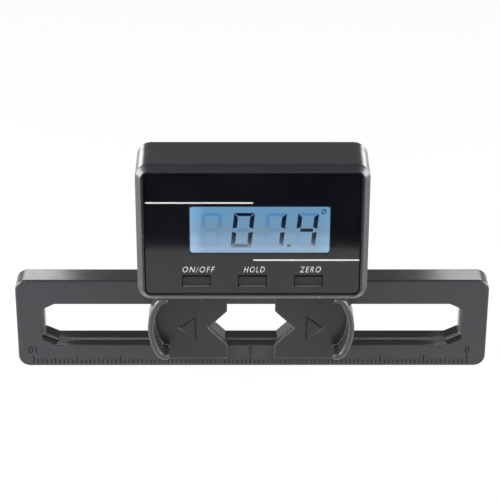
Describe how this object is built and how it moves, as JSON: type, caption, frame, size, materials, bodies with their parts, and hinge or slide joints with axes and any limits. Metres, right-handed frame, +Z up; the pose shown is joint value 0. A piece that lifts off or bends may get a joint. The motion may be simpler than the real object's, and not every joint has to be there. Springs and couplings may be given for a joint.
{
  "type": "digital pitch gauge",
  "caption": "Black digital pitch gauge: a slotted ruler bar with sprung V jaws that clamp a rotor blade, and a backlit inclinometer display with push keys on top.",
  "frame": {"origin": "under the middle of the gauge, on the level of the bar's bottom edge, midway between the front and the back of the housing", "axes": "+X along the bar to the viewer's right, +Y from the display towards the back, +Z up"},
  "size_m": [0.1076, 0.0128, 0.0545],
  "materials": {
    "body_plastic": "fine satin black moulding",
    "jaw_plastic": "fine matt black moulding",
    "panel_gloss": "gloss black",
    "window_clear": "clear",
    "lcd": "backlit blue display",
    "diffuser": "milky",
    "white_plastic": "plain",
    "key_plastic": "satin black",
    "board": "solder mask",
    "chip": "moulded package",
    "switch_metal": "plain",
    "silicone": "plain",
    "steel": "plain",
    "screw_black": "black oxide",
    "cell": "polished can"
  },
  "bodies": {
    "gauge": {"frame": "body_plastic", "bar_back_plate": "body_plastic", "front_shell": "body_plastic", "face_panel": "panel_gloss", "window_lens": "window_clear", "lcd_glass": "lcd", "lcd_carrier": "white_plastic", "backlight": "diffuser", "contact_strips": "silicone", "key_switches": "switch_metal", "circuit_board": "board", "controller_chip": "chip", "tilt_sensor": "chip", "coin_cell": "cell", "negative_contact": "steel", "positive_contact": "steel", "housing_screws": "screw_black", "back_plate_screws": "screw_black", "left_spring": "steel", "right_spring": "steel"},
    "left_jaw": {"left_thumb_plate": "jaw_plastic", "left_jaw_block": "jaw_plastic", "left_jaw_screw": "screw_black"},
    "right_jaw": {"right_thumb_plate": "jaw_plastic", "right_jaw_block": "jaw_plastic", "right_jaw_screw": "screw_black"},
    "power_key": {"power_button": "key_plastic"},
    "hold_key": {"hold_button": "key_plastic"},
    "zero_key": {"zero_button": "key_plastic"},
    "door": {"battery_door": "body_plastic"}
  },
  "joints": [
    {"name": "left_jaw_slide", "type": "slide", "parent": "gauge", "child": "left_jaw", "axis": [-1, 0, 0], "range_m": [0, 0.024], "stiffness_N_per_m": 60, "springref_m": -0.012, "deforming": ["left_spring"]},
    {"name": "right_jaw_slide", "type": "slide", "parent": "gauge", "child": "right_jaw", "axis": [1, 0, 0], "range_m": [0, 0.0245], "stiffness_N_per_m": 60, "springref_m": -0.012, "deforming": ["right_spring"]},
    {"name": "power_press", "type": "slide", "parent": "gauge", "child": "power_key", "axis": [0, 1, 0], "range_m": [0, 0.00035], "stiffness_N_per_m": 1500, "springref_m": -0.0002},
    {"name": "hold_press", "type": "slide", "parent": "gauge", "child": "hold_key", "axis": [0, 1, 0], "range_m": [0, 0.00035], "stiffness_N_per_m": 1500, "springref_m": -0.0002},
    {"name": "zero_press", "type": "slide", "parent": "gauge", "child": "zero_key", "axis": [0, 1, 0], "range_m": [0, 0.00035], "stiffness_N_per_m": 1500, "springref_m": -0.0002},
    {"name": "door_slide", "type": "slide", "parent": "gauge", "child": "door", "axis": [0, 0, 1], "range_m": [0, 0.024]}
  ]
}
